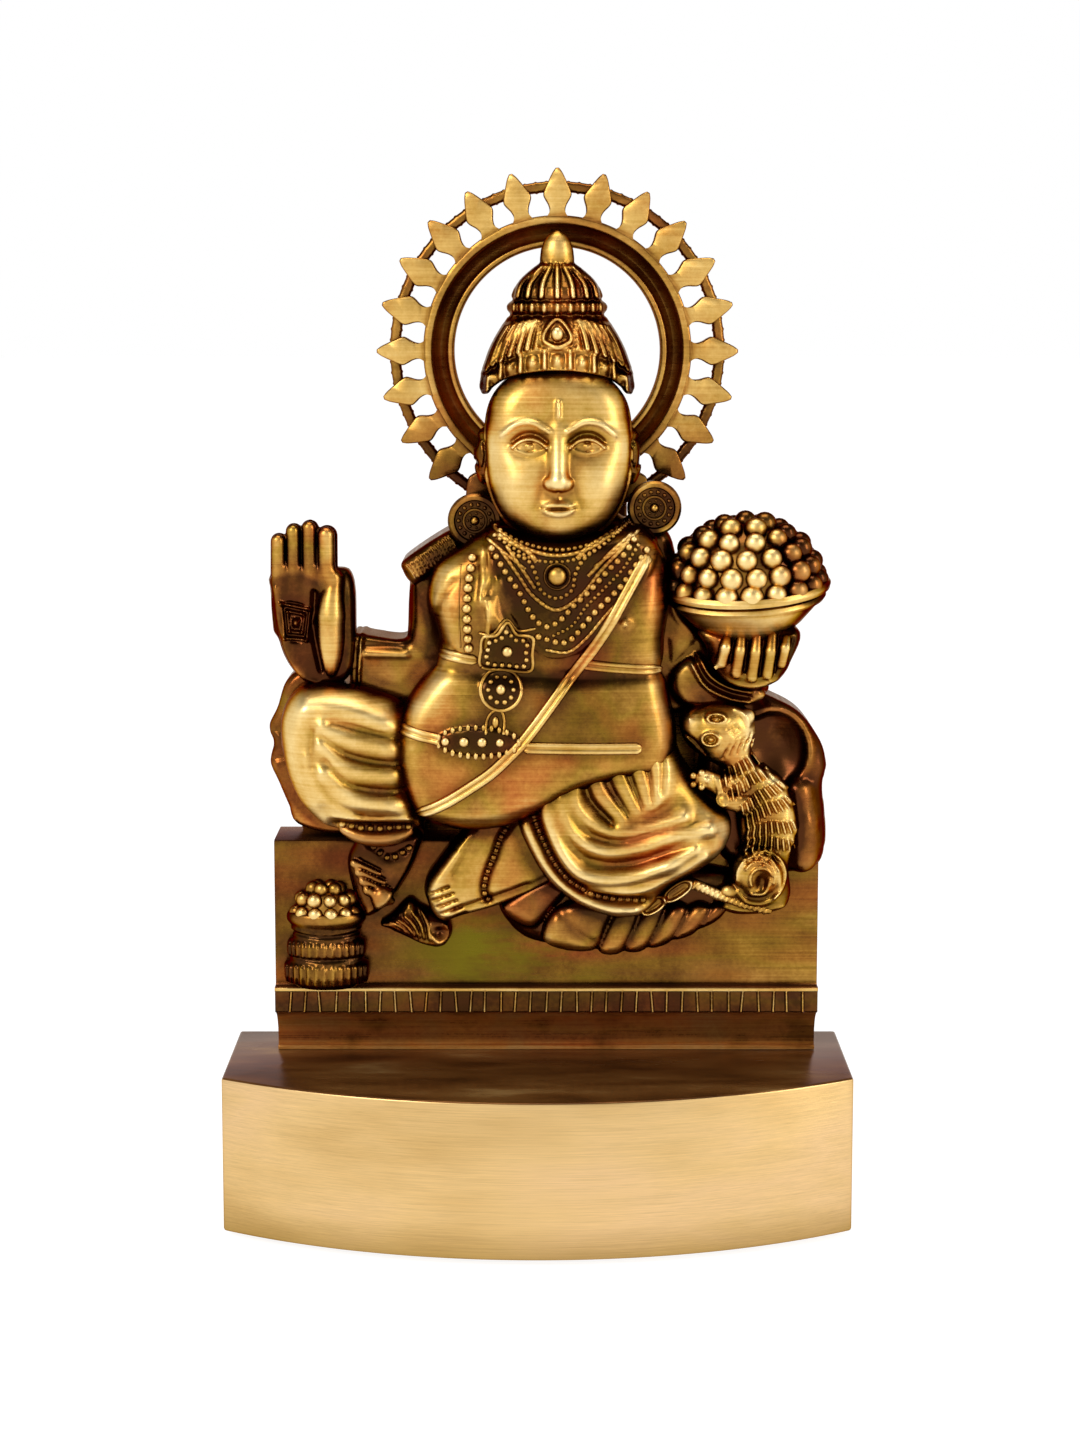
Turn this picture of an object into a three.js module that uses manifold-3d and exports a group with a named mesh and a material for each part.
// A seated deity idol in relief, on a curved-front base: a halo ring riveted behind the head, a bowl of
// jewels in one hand, the other hand raised, a mongoose at the knee and an offering pot beside the foot.
//
// Frame: millimetres, +X to the viewer's right, -Y towards the viewer, +Z up. The origin is the middle of
// the object's bounding box on the surface it stands on. "left" and "right" in names are the viewer's.
//
// The base is a hollow shell closed from below by a screwed cover with a foam pad. Two long screws hold the
// throne casting to it. The throne's back plate carries the figure's members, which are soldered to it and
// to each other, so neighbouring members keep a thin joint between them.
import * as THREE from "three";
import { mergeVertices } from "three/addons/utils/BufferGeometryUtils.js";
import Module from "manifold-3d";

const wasm = await Module();
wasm.setup();

// ---- driving dimensions ----
const JOINT = 0.12; // solder film between two members, mm
const ROUND = 10; // segments round a rounded member
const SLIM = 7; // segments round a finger, a limb or a screw
const FINE = 24; // segments round a large ring

const PAD_THICKNESS = 0.8;
const COVER_THICKNESS = 1.2;
const COVER_PLAY = 0.15; // between the cover's rim and the shell's wall
const BASE = { width: 63.5, depth: 29, top: 16.5, bow: 9.6, wall: 2, bottom: 0.6 };
const BASE_BACK = BASE.depth / 2;
const BASE_CORNER = -BASE.depth / 2 + BASE.bow; // where the bowed front meets the straight sides

const BLOCK = { left: -27, right: 28.8, front: 4.5, back: 12.5, top: 39, wall: 2 };
const BAND = { front: 3, bottom: 21.2, top: 23.9, ribs: 36, ribDepth: 0.35 };
const COVE_FOOT = 7; // where the cove under the band meets the base
const PLATE = { front: 10.5, back: 12.5 }; // the plate behind the figure
const RELIEF_BACK = PLATE.front - JOINT; // the flat backs of the figure's members

const HALO = { x: 2, z: 88.7, front: 7, back: 10.3, inner: 10.45, rim: 13.55, tip: 18.25, petals: 24 };
const CHANNEL_DEPTH = 1.3; // the hollow between the ring's rim and its inner band
const HEAD_BACK = HALO.front - JOINT; // head and crown stand in front of the ring

const COVER_SCREWS = [[-27, 10], [27, 10], [-23, -3.6], [23, -3.6]]; // x, y
const COVER_SCREW = { head: 1.9, headHeight: 0.7, shank: 0.75, length: 6.5, boss: 2.3, pilot: 0.86 };
const FIGURE_SCREWS = [[-18, 9.9], [20, 9.9]]; // x, y
const FIGURE_SCREW = { head: 2.2, headHeight: 1.2, shank: 1, tip: 24.5, boss: 2.3, pilot: 1.14, clearance: 1.2 };
const RIVETS = [-5, 5]; // x from the ring's centre
const RIVET = { radius: 0.75, head: 1.3, headHeight: 0.6, hole: 0.8, arm: 12 };

// ---- materials ----
const metal = (color, roughness) => new THREE.MeshStandardMaterial({ color, roughness, metalness: 1 });
const ANTIQUE = metal(0xa57c3c, 0.38); // buffed brass over a dark patina
const BRUSHED = metal(0xd9b274, 0.34); // the satin face of the base
const HALO_BRASS = metal(0xb98f4b, 0.36);
const JEWEL = metal(0x7a6034, 0.4); // beads and chains, darker between the beads
const STEEL = metal(0xb9bcc0, 0.35);
const FOAM = new THREE.MeshStandardMaterial({ color: 0x23211f, roughness: 0.95, metalness: 0 });

// ---- solids from three.js geometry ----
function solid(geometry) {
  const bare = (geometry.index ? geometry.toNonIndexed() : geometry).clone();
  bare.deleteAttribute("normal");
  bare.deleteAttribute("uv");
  const merged = mergeVertices(bare, 1e-4);
  const vertProperties = new Float32Array(merged.attributes.position.array);
  const triVerts = new Uint32Array(merged.index.array);
  return new wasm.Manifold(new wasm.Mesh({ numProp: 3, vertProperties, triVerts }));
}

function geometryOf(manifold) {
  const mesh = manifold.getMesh();
  const positions = new Float32Array(mesh.numVert * 3);
  for (let i = 0; i < mesh.numVert; i++) {
    positions.set(mesh.vertProperties.subarray(i * mesh.numProp, i * mesh.numProp + 3), i * 3);
  }
  const geometry = new THREE.BufferGeometry();
  geometry.setAttribute("position", new THREE.BufferAttribute(positions, 3));
  geometry.setIndex(new THREE.BufferAttribute(new Uint32Array(mesh.triVerts), 1));
  geometry.computeVertexNormals();
  return geometry;
}

const join = (solids) => solids.reduce((a, b) => a.add(b));

// A box between two opposite corners.
function box(low, high) {
  const size = high.map((v, i) => v - low[i]);
  const geometry = new THREE.BoxGeometry(...size);
  geometry.translate(...low.map((v, i) => v + size[i] / 2));
  return solid(geometry);
}

// An ellipsoid, turned by tilt degrees about the Y axis.
function ball([x, y, z], [rx, ry, rz], tilt = 0, round = ROUND) {
  const geometry = new THREE.SphereGeometry(1, round, Math.ceil(round / 2));
  geometry.rotateX(Math.PI / 2);
  geometry.scale(rx, ry, rz);
  geometry.rotateY(THREE.MathUtils.degToRad(tilt));
  geometry.translate(x, y, z);
  return solid(geometry);
}

// A straight frustum from one point to another.
function frustum(from, to, r1, r2, round = ROUND) {
  const start = new THREE.Vector3(...from);
  const way = new THREE.Vector3(...to).sub(start);
  const geometry = new THREE.CylinderGeometry(r2, r1, way.length(), round);
  geometry.applyQuaternion(
    new THREE.Quaternion().setFromUnitVectors(new THREE.Vector3(0, 1, 0), way.clone().normalize()),
  );
  geometry.translate(...start.addScaledVector(way, 0.5).toArray());
  return solid(geometry);
}

const rod = (x, y, low, high, r, round = ROUND) => frustum([x, y, low], [x, y, high], r, r, round);

// A limb through points [x, y, z, radius], thicker by grow all round.
function limb(points, grow = 0, round = SLIM) {
  const solids = points.map(([x, y, z, r]) => ball([x, y, z], [r + grow, r + grow, r + grow], 0, round));
  for (let i = 1; i < points.length; i++) {
    const [a, b] = [points[i - 1], points[i]];
    solids.push(frustum(a.slice(0, 3), b.slice(0, 3), a[3] + grow, b[3] + grow, round));
  }
  return join(solids);
}

// A turned shape about a vertical axis at x, y, from [radius, z] points, flattened front to back.
function turned(x, y, profile, flatten = 1, round = 20) {
  const geometry = new THREE.LatheGeometry(profile.map(([r, z]) => new THREE.Vector2(r, z)), round);
  geometry.rotateX(Math.PI / 2);
  geometry.scale(1, flatten, 1);
  geometry.translate(x, y, 0);
  return solid(geometry);
}

const points2 = (pairs) => pairs.map(([x, z]) => new THREE.Vector2(x, z));

// A front-view outline, a Shape or [x, z] points, extruded from y = front back to y = back.
function slab(outline, front, back) {
  const shape = outline instanceof THREE.Shape ? outline : new THREE.Shape(points2(outline));
  const geometry = new THREE.ExtrudeGeometry(shape, {
    depth: back - front, bevelEnabled: false, curveSegments: 3,
  });
  geometry.rotateX(Math.PI / 2);
  geometry.translate(0, back, 0);
  return solid(geometry);
}

// A strip of a given width along [x, z] points, as a front-view slab through the whole figure.
function strip(points, width) {
  const path = new THREE.CatmullRomCurve3(points.map(([x, z]) => new THREE.Vector3(x, z, 0)));
  const steps = points.length * 3;
  const [above, below] = [[], []];
  for (let i = 0; i <= steps; i++) {
    const p = path.getPoint(i / steps);
    const t = path.getTangent(i / steps);
    above.push([p.x - t.y * width / 2, p.y + t.x * width / 2]);
    below.unshift([p.x + t.y * width / 2, p.y - t.x * width / 2]);
  }
  return slab([...below.reverse(), ...above.reverse()], -20, 3);
}

// ---- base ----
// The base's plan, drawn in from its edge by inset: straight back and sides, bowed front.
function basePlan(inset) {
  const radius = ((BASE.width / 2) ** 2 + BASE.bow ** 2) / (2 * BASE.bow);
  const half = BASE.width / 2 - inset;
  const centre = -BASE.depth / 2 + radius;
  const sweep = Math.asin(half / (radius - inset));
  const shape = new THREE.Shape();
  shape.moveTo(half, BASE_BACK - inset);
  shape.lineTo(-half, BASE_BACK - inset);
  shape.absarc(0, centre, radius - inset, -Math.PI / 2 - sweep, -Math.PI / 2 + sweep, false);
  return shape;
}

function basePlate(inset, low, high) {
  const geometry = new THREE.ExtrudeGeometry(basePlan(inset), {
    depth: high - low, bevelEnabled: false, curveSegments: 14,
  });
  geometry.translate(0, 0, low);
  return solid(geometry);
}

function baseShell() {
  const ceiling = BASE.top - BASE.wall;
  const seat = PAD_THICKNESS + COVER_THICKNESS;
  const bosses = COVER_SCREWS.map(([x, y]) => rod(x, y, seat, ceiling + 0.5, COVER_SCREW.boss));
  const pilots = COVER_SCREWS.map(([x, y]) => rod(x, y, 0, seat + COVER_SCREW.length, COVER_SCREW.pilot));
  const holes = FIGURE_SCREWS.map(([x, y]) => rod(x, y, 0, BASE.top + 1, FIGURE_SCREW.clearance));
  return basePlate(0, BASE.bottom, BASE.top)
    .subtract(basePlate(BASE.wall, 0, ceiling))
    .add(join(bosses))
    .subtract(join([...pilots, ...holes]));
}

function bottomCover() {
  const low = PAD_THICKNESS;
  const high = low + COVER_THICKNESS - 0.05;
  const holes = COVER_SCREWS.flatMap(([x, y]) => [
    rod(x, y, low - 1, high + 1, COVER_SCREW.shank + 0.15),
    rod(x, y, low - 1, low + COVER_SCREW.headHeight, COVER_SCREW.head + 0.1),
  ]);
  return basePlate(BASE.wall + COVER_PLAY, low, high).subtract(join(holes));
}

function coverScrew([x, y]) {
  const low = PAD_THICKNESS + 0.05;
  const under = PAD_THICKNESS + COVER_SCREW.headHeight - 0.05;
  return rod(x, y, low, under, COVER_SCREW.head)
    .add(rod(x, y, under - 0.1, low + COVER_SCREW.length, COVER_SCREW.shank, 12));
}

function figureScrew([x, y]) {
  const seat = BASE.top - BASE.wall - 0.05;
  return rod(x, y, seat - FIGURE_SCREW.headHeight, seat, FIGURE_SCREW.head)
    .add(rod(x, y, seat - 0.1, FIGURE_SCREW.tip, FIGURE_SCREW.shank, 12));
}

// ---- throne ----
// The plinth's cross-section in y, z: a cove under the ribbed band.
function plinth() {
  const shape = new THREE.Shape();
  shape.moveTo(BLOCK.back, BASE.top + 0.05);
  shape.lineTo(COVE_FOOT, BASE.top + 0.05);
  shape.quadraticCurveTo(COVE_FOOT, BAND.bottom - 0.8, BAND.front + 0.6, BAND.bottom);
  shape.lineTo(BAND.front, BAND.bottom);
  shape.lineTo(BAND.front, BAND.top);
  shape.lineTo(BLOCK.back, BAND.top);
  const geometry = new THREE.ExtrudeGeometry(shape, {
    depth: BLOCK.right - BLOCK.left, bevelEnabled: false, curveSegments: 6,
  });
  geometry.rotateX(Math.PI / 2);
  geometry.rotateZ(Math.PI / 2);
  geometry.translate(BLOCK.left, 0, 0);
  return solid(geometry);
}

function ribGrooves() {
  const pitch = (BLOCK.right - BLOCK.left) / BAND.ribs;
  return Array.from({ length: BAND.ribs - 1 }, (_, i) => {
    const x = BLOCK.left + pitch * (i + 1);
    return box([x - 0.18, BAND.front - 1, BAND.bottom + 0.3], [x + 0.18, BAND.front + BAND.ribDepth, BAND.top - 0.4]);
  });
}

// The plate behind the figure: its outline stays inside the figure's, and its tab carries the halo ring.
const PLATE_OUTLINE = new THREE.Shape()
  .moveTo(-24, 36)
  .splineThru(points2([[-25.4, 43], [-24.2, 51], [-17, 53.6], [-12, 56.5], [-10.8, 63], [-8.4, 67], [-5.2, 69.2]]))
  .lineTo(-5.2, 78)
  .absarc(2, 73, Math.hypot(7.2, 5), Math.PI - Math.atan2(5, 7.2), Math.atan2(5, 7.2), true)
  .lineTo(9.2, 69.2)
  .splineThru(points2([[12, 66], [13, 60], [13.6, 52], [18, 48.5], [24, 51], [28, 46], [28, 36]]));

function throneBlock() {
  const pocket = box(
    [BLOCK.left + BLOCK.wall, BLOCK.front + BLOCK.wall + 0.5, BASE.top + 2.5],
    [BLOCK.right - BLOCK.wall, BLOCK.back + 1, BLOCK.top - BLOCK.wall],
  );
  const bosses = FIGURE_SCREWS.map(([x, y]) => rod(x, y, BASE.top + 1, FIGURE_SCREW.tip + 2, FIGURE_SCREW.boss));
  const pilots = FIGURE_SCREWS.map(([x, y]) => rod(x, y, BASE.top - 1, FIGURE_SCREW.tip + 0.5, FIGURE_SCREW.pilot));
  const rivetHoles = rivetCentres().map(([x, z]) => (
    frustum([x, 0, z], [x, PLATE.back + 1, z], RIVET.hole, RIVET.hole)
  ));
  return plinth()
    .add(box([BLOCK.left, BLOCK.front, BAND.top - 0.1], [BLOCK.right, BLOCK.back, BLOCK.top]))
    .add(slab(PLATE_OUTLINE, PLATE.front, PLATE.back))
    .subtract(pocket)
    .add(join(bosses))
    .subtract(join([...pilots, ...rivetHoles, ...ribGrooves()]));
}

// ---- halo ----
function rivetCentres() {
  return RIVETS.map((x) => [HALO.x + x, HALO.z - Math.sqrt(RIVET.arm ** 2 - x ** 2)]);
}

// A ring about the Y axis through the halo's centre, from [radius, y] points.
function haloTurned(profile) {
  const geometry = new THREE.LatheGeometry(profile.map(([r, y]) => new THREE.Vector2(r, y)), FINE);
  geometry.translate(HALO.x, 0, HALO.z);
  return solid(geometry);
}

// One spade-shaped petal, pointing up from the rim.
function petalShape() {
  const [neck, belly, point] = [0.55, 1.42, 0.3]; // half widths
  const root = HALO.rim - 0.3;
  const shape = new THREE.Shape();
  shape.moveTo(-neck, root);
  shape.lineTo(neck, root);
  shape.lineTo(neck, HALO.rim + 1);
  shape.lineTo(belly, HALO.rim + 2.2);
  shape.lineTo(point, HALO.tip);
  shape.lineTo(-point, HALO.tip);
  shape.lineTo(-belly, HALO.rim + 2.2);
  shape.lineTo(-neck, HALO.rim + 1);
  return shape;
}

function petal(turn) {
  const geometry = new THREE.ExtrudeGeometry(petalShape(), {
    depth: 1.7, bevelEnabled: false,
  });
  geometry.rotateX(Math.PI / 2);
  geometry.rotateY(turn);
  geometry.translate(HALO.x, HALO.front + 1.9, HALO.z);
  return solid(geometry);
}

function haloRing() {
  const { inner, rim, front, back } = HALO;
  const channel = haloTurned([
    [inner, back], [inner, front + 0.5], [inner + 0.7, front + 0.5], [inner + 0.9, front + CHANNEL_DEPTH],
    [rim - 1.1, front + CHANNEL_DEPTH], [rim - 0.85, front], [rim, front], [rim, back], [inner, back],
  ]);
  const wire = haloTurned([
    [15.9, front + 1.5], [16.8, front + 1.5], [16.8, front + 2.6], [15.9, front + 2.6], [15.9, front + 1.5],
  ]);
  const petals = Array.from({ length: HALO.petals }, (_, i) => petal((i * 2 * Math.PI) / HALO.petals));
  const seat = front + CHANNEL_DEPTH;
  const holes = rivetCentres().flatMap(([x, z]) => [
    frustum([x, 0, z], [x, 20, z], RIVET.hole, RIVET.hole),
    frustum([x, 0, z], [x, seat, z], RIVET.head + 0.12, RIVET.head + 0.12),
  ]);
  return join([channel, wire, ...petals]).subtract(join(holes));
}

function haloRivet([x, z]) {
  const face = HALO.front + CHANNEL_DEPTH - 0.05;
  const back = PLATE.back + 0.05;
  return frustum([x, face - RIVET.headHeight, z], [x, face, z], RIVET.head, RIVET.head, 12)
    .add(frustum([x, face - 0.1, z], [x, back + 0.1, z], RIVET.radius, RIVET.radius, 12))
    .add(frustum([x, back, z], [x, back + RIVET.headHeight, z], RIVET.head, RIVET.head, 12));
}

// ---- figure ----
// Each member takes grow, the thickness added all round, so that a neighbour can be cut to clear it.
const grown = (radii, grow) => radii.map((r) => r + grow);

const torso = (grow) => join([
  ball([-0.4, 5, 50.6], grown([14.2, 9.6, 9.6], grow), 0, 16),
  ball([0.9, 5.4, 60.4], grown([12.3, 7.9, 9], grow), 0, 16),
]);

const head = (grow) => join([
  ball([2.7, 4.6, 78], grown([7.5, 6.9, 8.5], grow), 0, 16),
  ball([2.7, 5, 71], grown([5.4, 4, 4], grow)),
  ball([-5.2, 5.5, 79], grown([1.2, 1.2, 2.6], grow), 0, SLIM),
  ball([10.6, 5.5, 79], grown([1.2, 1.2, 2.6], grow), 0, SLIM),
]);

const crown = (grow) => turned(2.2, 4.6, [
  [0, 84.4 - grow], [8.1 + grow, 84.4 - grow], [8 + grow, 86.4], [6.9 + grow, 89], [5 + grow, 91.3],
  [5 + grow, 92.7], [4.5 + grow, 94.6], [3.2 + grow, 96.5], [1.9 + grow, 97.3], [1.7 + grow, 99.3],
  [1.1 + grow, 100.2], [0, 100.5 + grow],
], 0.86);

const earring = (x, z) => (grow) => (
  frustum([x, 0.6 - grow, z], [x, 3.6 + grow, z], 2.75 + grow, 2.75 + grow, 16)
);

const leftArm = (grow) => limb([[-9.2, 5.6, 64.8, 3.7], [-12, 5.4, 58.2, 3], [-17.6, 3, 57.3, 2.4]], grow);

// A finger: a slim frustum with a round tip.
const finger = (from, to, grow) => frustum(from, to, 0.95 + grow, 0.8 + grow, 6).add(
  ball(to, grown([0.8, 0.8, 0.8], grow), 0, 6),
);

const HAND_FINGERS = [[-25.1, 69.3], [-23.4, 70.6], [-21.7, 71], [-20.1, 70.2]]; // x, z of each fingertip
const raisedHand = (grow) => join([
  ball([-22.4, 2.2, 60.6], grown([3.7, 1.8, 5.9], grow)),
  limb([[-21.6, 0.9, 58, 1.5], [-20.2, 0.8, 65.2, 0.9]], grow, 6),
  ...HAND_FINGERS.map(([x, z]) => finger([x, 2.2, 64.5], [x, 2, z], grow)),
]);

const rightArm = (grow) => limb([[12, 5.6, 64, 3.6], [16.2, 5.2, 56, 3.1], [20.6, 2.6, 55.9, 2.5]], grow);

const bowlHand = (grow) => join([
  ball([21.2, 0.2, 57.2], grown([3.7, 3.1, 2.2], grow)),
  ...[18.7, 20.3, 21.9, 23.4].map((x) => finger([x, -2.2, 56.2], [x + 0.3, -3, 59.4], grow)),
]);

const BOWL = { x: 20.9, y: 1.6, z: 65.3, radius: 8.35, flatten: 0.8, tilt: 12 };

// Turns a solid made upright about the bowl's rim centre so that its mouth leans to the viewer.
function leaned(manifold) {
  return manifold
    .translate([0, -BOWL.y, -BOWL.z])
    .rotate([BOWL.tilt, 0, 0])
    .translate([0, BOWL.y, BOWL.z]);
}

const bowl = (grow) => leaned(turned(BOWL.x, BOWL.y, [
  [0, 59.6 - grow], [2.6 + grow, 59.8 - grow], [5.4 + grow, 62 - grow], [7.6 + grow, 64.4 - grow],
  [8.35 + grow, 65.3], [8.35 + grow, 66.2 + grow], [7.5 - grow, 66.2 + grow], [6.6 - grow, 64.9 + grow],
  [0, 63.6 + grow],
], BOWL.flatten, 16));

const bowlJewels = (grow) => leaned(ball([BOWL.x, BOWL.y, 65.6], grown([7.2, 5.7, 6.3], grow)));

const raisedKnee = (grow) => join([
  ball([-18.8, 3, 48.2], grown([7.1, 6.4, 7.4], grow), 0, 14),
  limb([[-17.6, 3.4, 46, 5.6], [-15.9, 3.6, 42.4, 4.2]], grow, 10),
]);

const raisedFoot = (grow) => limb([
  [-14.9, 3.4, 40, 2.7], [-15.6, 2.6, 36.9, 2.3], [-18, 1.6, 34.4, 1.7],
], grow);

const foldedLeg = (grow) => join([
  ball([7, 2.4, 40.8], grown([11.6, 6.4, 7.1], grow), -14, 14),
  ball([12.5, 2.6, 43.6], grown([6.6, 5.6, 5.2], grow), 0, ROUND),
]);

const foldedFoot = (grow) => limb([
  [-3.9, 2.4, 40.6, 2.8], [-6.4, 1.8, 37.4, 2.7], [-9.6, 1.2, 33.8, 1.9],
], grow);

const cushion = (grow) => ball([8.6, 4, 31.4], grown([11.8, 5, 3.8], grow), 0, 14);

const mongoose = (grow) => join([
  limb([
    [23.6, 1.4, 35.4, 3.1], [22.7, 1, 41.4, 2.8], [19.6, 0, 46.8, 1.8],
    [17.7, -0.2, 49.4, 2.2], [15.6, -0.4, 51.2, 1.2],
  ], grow),
  limb([[20.6, -0.4, 44.2, 1.2], [17, -0.8, 45.6, 1.1]], grow, 6),
  limb([[24.6, 1.6, 32.8, 1.3], [17, 1.2, 33.4, 1.1]], grow, 6),
]);

const coinString = (grow) => limb([[15.4, -0.4, 35.6, 0.9], [10.4, -0.4, 32, 0.95]], grow);

const bigBolster = (grow) => ball([23.8, 6.4, 45.6], grown([6.3, 4.6, 7.7], grow), 0, 16);
const smallBolster = (grow) => ball([-23.6, 7.6, 47], grown([3.9, 3, 6.8], grow));

const POT = { x: -21.6, y: 3.1, flatten: 0.72 };
const pot = (grow) => turned(POT.x, POT.y, [
  [0, 24.2 - grow], [3 + grow, 24.2 - grow], [4.4 + grow, 25.6], [4.4 + grow, 26.9], [3.7 + grow, 27.8],
  [3.9 + grow, 28.6], [3.5 + grow, 29.9], [4.2 + grow, 31.3], [4.1 + grow, 32.2 + grow], [0, 31.4 + grow],
], POT.flatten, 16);

const potJewels = (grow) => ball([POT.x, POT.y - 0.4, 32.6], grown([3.6, 2.6, 2.3], grow));

const footLotus = (grow) => ball([-11.2, 3.4, 30.2], grown([3, 2.4, 2.3], grow), 0, 10);

// Jewellery lies on the torso as a thin skin, inside a front-view outline.
const SKIN = 0.75;
const onTorso = (outline) => (grow) => (
  torso(SKIN + grow).subtract(torso(JOINT - grow)).intersect(outline(grow))
);
const necklace = onTorso(() => slab([
  [-6.4, 70], [-4.4, 64.6], [-2.2, 60.4], [2.4, 57.7], [5.6, 60], [8.6, 64], [10.8, 70],
], -20, 4));
const THREAD = [[10.2, 68.6], [6.2, 61], [1.7, 54.6], [-1.9, 50.3]]; // x, z, down to the belt
const THREAD_END = [[-1.9, 50.3], [-2.8, 49.3], [-7, 45.2], [-10.6, 43.2]]; // below the belt
const BELT = [[-13.2, 51.4], [-9.6, 50.5], [-2, 49.9], [4, 49.8], [10, 49.7]];
const band = (points, width) => onTorso((grow) => strip(points, width + 2 * grow));
const pendants = onTorso((grow) => join([
  slab([[-5.4, 57.9], [-0.6, 57.6], [-0.5, 60.8], [-3, 62.4], [-5.5, 60.6]], -20, 3),
  frustum([-3.6, -20, 55.7], [-3.6, 3, 55.7], 2.15 + grow, 2.15 + grow),
  slab([[-5.2, 51.2], [-3.4, 51.2], [-3.2, 54.4], [-4.6, 54.4]], -20, 3),
]));

// What lies on the torso.
const JEWELLERY = [
  ["pendant_chain", pendants, JEWEL],
  ["waist_belt", band(BELT, 1.2), ANTIQUE],
  ["sacred_thread", band(THREAD, 1.1), ANTIQUE],
  ["sacred_thread_end", band(THREAD_END, 1.1), ANTIQUE],
  ["collar_necklace", necklace, JEWEL],
  ["chest_band_left", band([[-11, 58.9], [-8.5, 58.8], [-6, 58.6]], 1.1), ANTIQUE],
  ["chest_band_right", band([[5.4, 57.9], [9, 57.7], [12.2, 57.5]], 1.1), ANTIQUE],
];

// The members in the order in which they keep their shape: each is cut clear of all those before it.
const MEMBERS = [
  ["left_earring", earring(-6.25, 72), JEWEL],
  ["right_earring", earring(11.65, 73.2), JEWEL],
  ["crown", crown, JEWEL],
  ["head", head, ANTIQUE],
  ...JEWELLERY,
  ["jewel_bowl", bowl, ANTIQUE],
  ["bowl_jewels", bowlJewels, JEWEL],
  ["bowl_hand", bowlHand, ANTIQUE],
  ["mongoose", mongoose, ANTIQUE],
  ["coin_string", coinString, JEWEL],
  ["folded_foot", foldedFoot, ANTIQUE],
  ["folded_leg", foldedLeg, ANTIQUE],
  ["raised_hand", raisedHand, ANTIQUE],
  ["raised_knee", raisedKnee, ANTIQUE],
  ["raised_foot", raisedFoot, ANTIQUE],
  ["torso", torso, ANTIQUE],
  ["left_arm", leftArm, ANTIQUE],
  ["right_arm", rightArm, ANTIQUE],
  ["pot_jewels", potJewels, JEWEL],
  ["offering_pot", pot, JEWEL],
  ["foot_lotus", footLotus, ANTIQUE],
  ["seat_cushion", cushion, ANTIQUE],
  ["big_bolster", bigBolster, ANTIQUE],
  ["small_bolster", smallBolster, ANTIQUE],
];
const ON_THE_HALO_SIDE = ["crown", "head", "left_earring", "right_earring"];

// The largest connected body, which drops the slivers that a cut leaves.
function largest(manifold) {
  const bodies = manifold.decompose();
  return bodies.reduce((a, b) => (b.volume() > a.volume() ? b : a));
}

const group = new THREE.Group();

function place(name, manifold, material) {
  const mesh = new THREE.Mesh(geometryOf(manifold), material);
  mesh.name = name;
  group.add(mesh);
}

place("base_shell", baseShell(), BRUSHED);
place("bottom_cover", bottomCover(), STEEL);
place("foam_pad", basePlate(BASE.wall + 0.8, 0, PAD_THICKNESS - 0.05), FOAM);
COVER_SCREWS.forEach((at, i) => place(`cover_screw_${i + 1}`, coverScrew(at), STEEL));
FIGURE_SCREWS.forEach((at, i) => place(`figure_screw_${i + 1}`, figureScrew(at), STEEL));
place("throne_block", throneBlock(), ANTIQUE);
place("halo_ring", haloRing(), HALO_BRASS);
rivetCentres().forEach((at, i) => place(`halo_rivet_${i + 1}`, haloRivet(at), STEEL));

// What the members clear besides each other: the block they sit on, and the plate or the ring behind them.
const thronePart = box([-40, BLOCK.front - JOINT, 0], [40, 20, BLOCK.top + JOINT])
  .add(box([-40, BAND.front - JOINT, 0], [40, 20, BAND.top + JOINT]));
const placed = [];
for (const [name, member, material] of MEMBERS) {
  const behind = ON_THE_HALO_SIDE.includes(name) ? HEAD_BACK : RELIEF_BACK;
  let made = member(0)
    .subtract(box([-60, behind, -10], [60, 60, 150]))
    .subtract(thronePart);
  for (const other of placed) {
    const liesOnIt = name === "torso" && JEWELLERY.some(([jewel]) => jewel === other.name);
    made = liesOnIt ? made : made.subtract(other.member(JOINT));
  }
  place(name, largest(made), material);
  placed.push({ name, member });
}

export default group;
